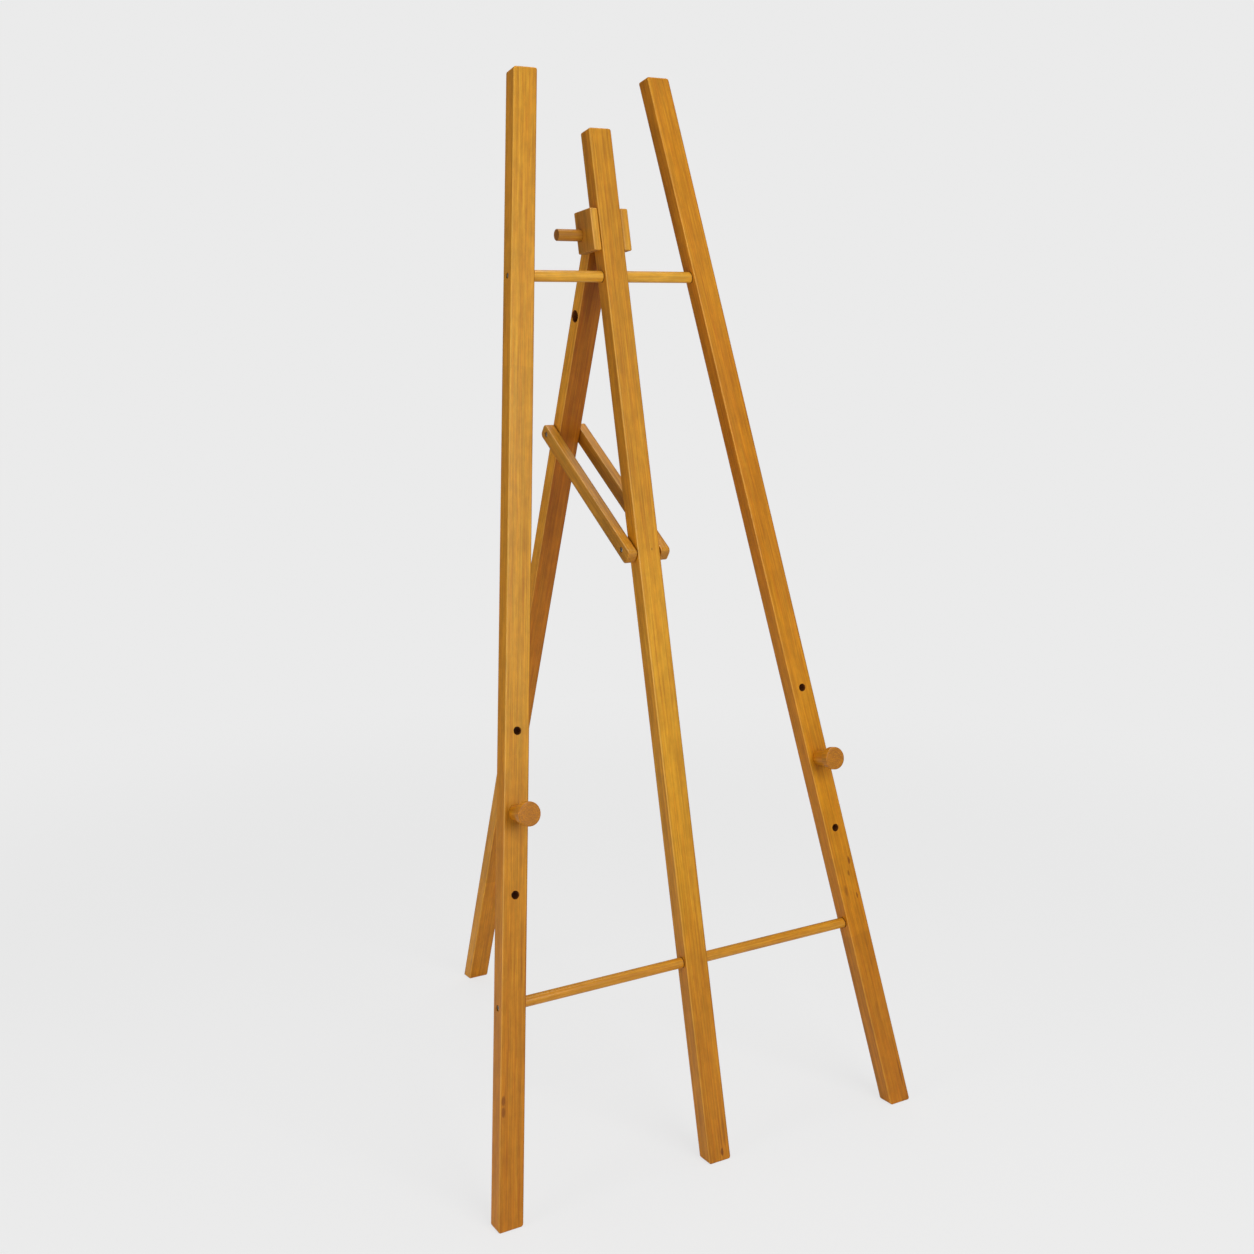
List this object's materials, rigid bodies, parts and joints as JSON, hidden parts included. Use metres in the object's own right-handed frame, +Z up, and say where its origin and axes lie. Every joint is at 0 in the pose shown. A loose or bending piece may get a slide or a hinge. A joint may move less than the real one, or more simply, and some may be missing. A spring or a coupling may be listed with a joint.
{
  "type": "wooden artist easel",
  "caption": "Free-standing bamboo display easel: splayed front legs on round rails, a rear leg with folding stays, a pull-out pivot pin and movable canvas pegs.",
  "frame": {"origin": "on the floor, under the middle of the easel's bounding box", "axes": "+Z up, -Y the side that the canvas faces, +X to the right seen from the front"},
  "size_m": [0.6964, 0.8056, 1.5143],
  "materials": {
    "front_legs": "satin clear varnish over laminated honey-coloured bamboo, lengthwise grain",
    "rails": "satin clear varnish over round bamboo dowel",
    "cheeks": "satin clear varnish over laminated bamboo, slightly darker",
    "rear_leg": "satin clear varnish over laminated bamboo, amber tone",
    "stays": "satin clear varnish over laminated bamboo, lengthwise grain",
    "pivot_pin": "satin clear varnish over round bamboo dowel, bare end grain",
    "pegs": "satin clear varnish over turned bamboo, end grain on the head",
    "screws": "bright zinc-plated steel pan-head screws with a cross recess",
    "washers": "dull zinc-plated steel"
  },
  "bodies": {
    "frame": {"left_leg": "front_legs", "right_leg": "front_legs", "centre_leg": "front_legs", "top_rail": "rails", "bottom_rail": "rails", "left_cheek": "cheeks", "right_cheek": "cheeks", "top_rail_left_screw": "screws", "top_rail_right_screw": "screws", "bottom_rail_left_screw": "screws", "bottom_rail_right_screw": "screws", "left_stay_low_screw": "screws", "right_stay_low_screw": "screws", "left_stay_low_washer": "washers", "right_stay_low_washer": "washers"},
    "stays": {"left_stay": "stays", "right_stay": "stays"},
    "rear_leg": {"rear_leg": "rear_leg", "left_stay_high_screw": "screws", "right_stay_high_screw": "screws", "left_stay_high_washer": "washers", "right_stay_high_washer": "washers"},
    "pivot_pin": {"pivot_pin": "pivot_pin"},
    "left_peg": {"left_peg": "pegs"},
    "right_peg": {"right_peg": "pegs"}
  },
  "joints": [
    {"name": "stay_fold", "type": "hinge", "parent": "frame", "child": "stays", "pos_m": [0, -0.20736, 0.85248], "axis": [1, 0, 0], "range_deg": [0, 39.56]},
    {"name": "rear_leg_fold", "type": "hinge", "parent": "stays", "child": "rear_leg", "pos_m": [0, 0.00993, 1.004], "axis": [-1, 0, 0], "range_deg": [0, 72.01]},
    {"name": "pivot_pin_pull", "type": "slide", "parent": "frame", "child": "pivot_pin", "axis": [-1, 0, 0], "range_m": [0, 0.06]},
    {"name": "left_peg_pull", "type": "slide", "parent": "frame", "child": "left_peg", "axis": [0, -0.9792, 0.2028], "range_m": [0, 0.03]},
    {"name": "right_peg_pull", "type": "slide", "parent": "frame", "child": "right_peg", "axis": [0, -0.9792, 0.2028], "range_m": [0, 0.03]}
  ],
  "couplings": [
    {"joint": "stay_fold", "follows": "rear_leg_fold", "ratio": 0.54874}
  ]
}
